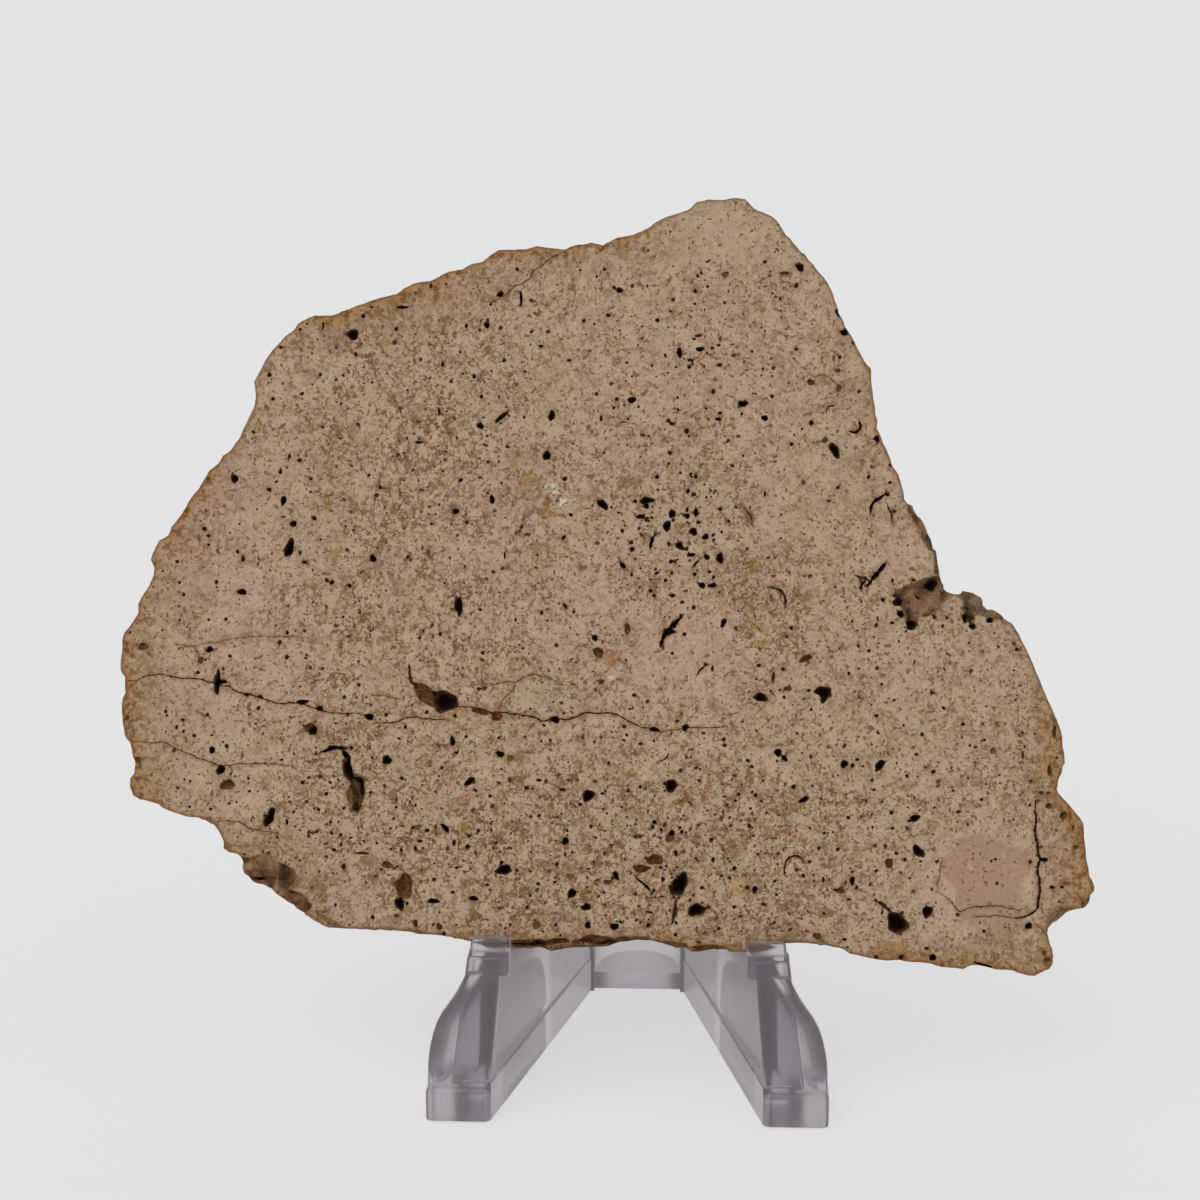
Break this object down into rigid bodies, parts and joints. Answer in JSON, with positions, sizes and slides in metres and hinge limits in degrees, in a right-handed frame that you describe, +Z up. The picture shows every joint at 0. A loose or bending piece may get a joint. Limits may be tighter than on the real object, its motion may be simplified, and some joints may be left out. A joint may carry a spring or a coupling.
{
  "type": "suevite specimen slab on a display stand",
  "caption": "Sawn slab of pitted suevite rock leaning on a small clear moulded easel, for a shelf or a cabinet.",
  "frame": {"origin": "middle of the bounding box of the slab and its easel, on the surface that the easel stands on", "axes": "+X to the right along the slab's length, +Y from the sawn front face to the back of the easel, +Z up"},
  "size_m": [0.1068, 0.0488, 0.0965],
  "materials": {
    "suevite": "matte sawn face with open dark pits and a weathered brown rim",
    "clear_plastic": "clear glossy moulded plastic with a faint grey-violet tint"
  },
  "bodies": {
    "root": {"suevite_slab": "suevite", "display_stand": "clear_plastic"}
  },
  "joints": []
}
